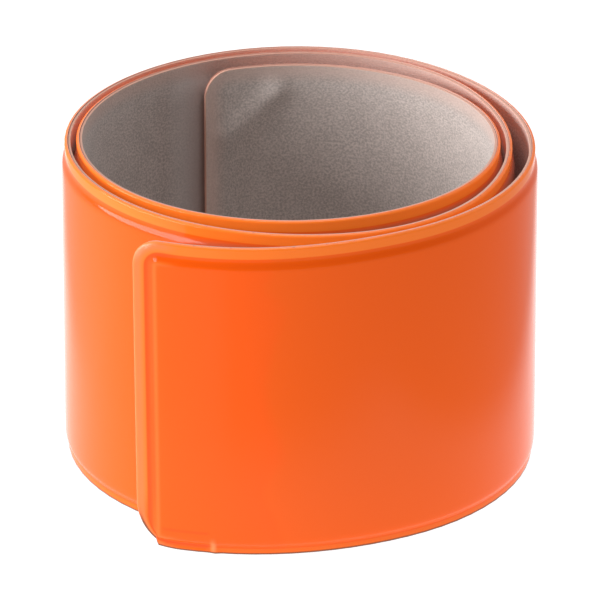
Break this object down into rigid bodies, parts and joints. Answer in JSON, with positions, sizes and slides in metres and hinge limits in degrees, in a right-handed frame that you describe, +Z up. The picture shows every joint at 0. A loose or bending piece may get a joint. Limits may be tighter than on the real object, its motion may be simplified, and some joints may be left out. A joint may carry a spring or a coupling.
{
  "type": "slap bracelet",
  "caption": "Flat band of glossy film with a flocked backing, welded over a thin spring steel strip and coiled up as a wrist bracelet that stands on its long edge.",
  "frame": {"origin": "middle of the coil's bounding box, on the surface that its long edge stands on", "axes": "+Z up along the axis of the coil, -Y towards the front, where the free outer end lies, +X to the right seen from there"},
  "size_m": [0.043, 0.0464, 0.03],
  "materials": {
    "glossy_film": "smooth glossy high-visibility orange film with a welded rim",
    "flocked_backing": "short grey flock on plastic",
    "spring_steel": "bare cold rolled spring strip, sealed in"
  },
  "bodies": {
    "root": {"outer_film": "glossy_film", "flock_backing": "flocked_backing", "spring_strip": "spring_steel"}
  },
  "joints": []
}
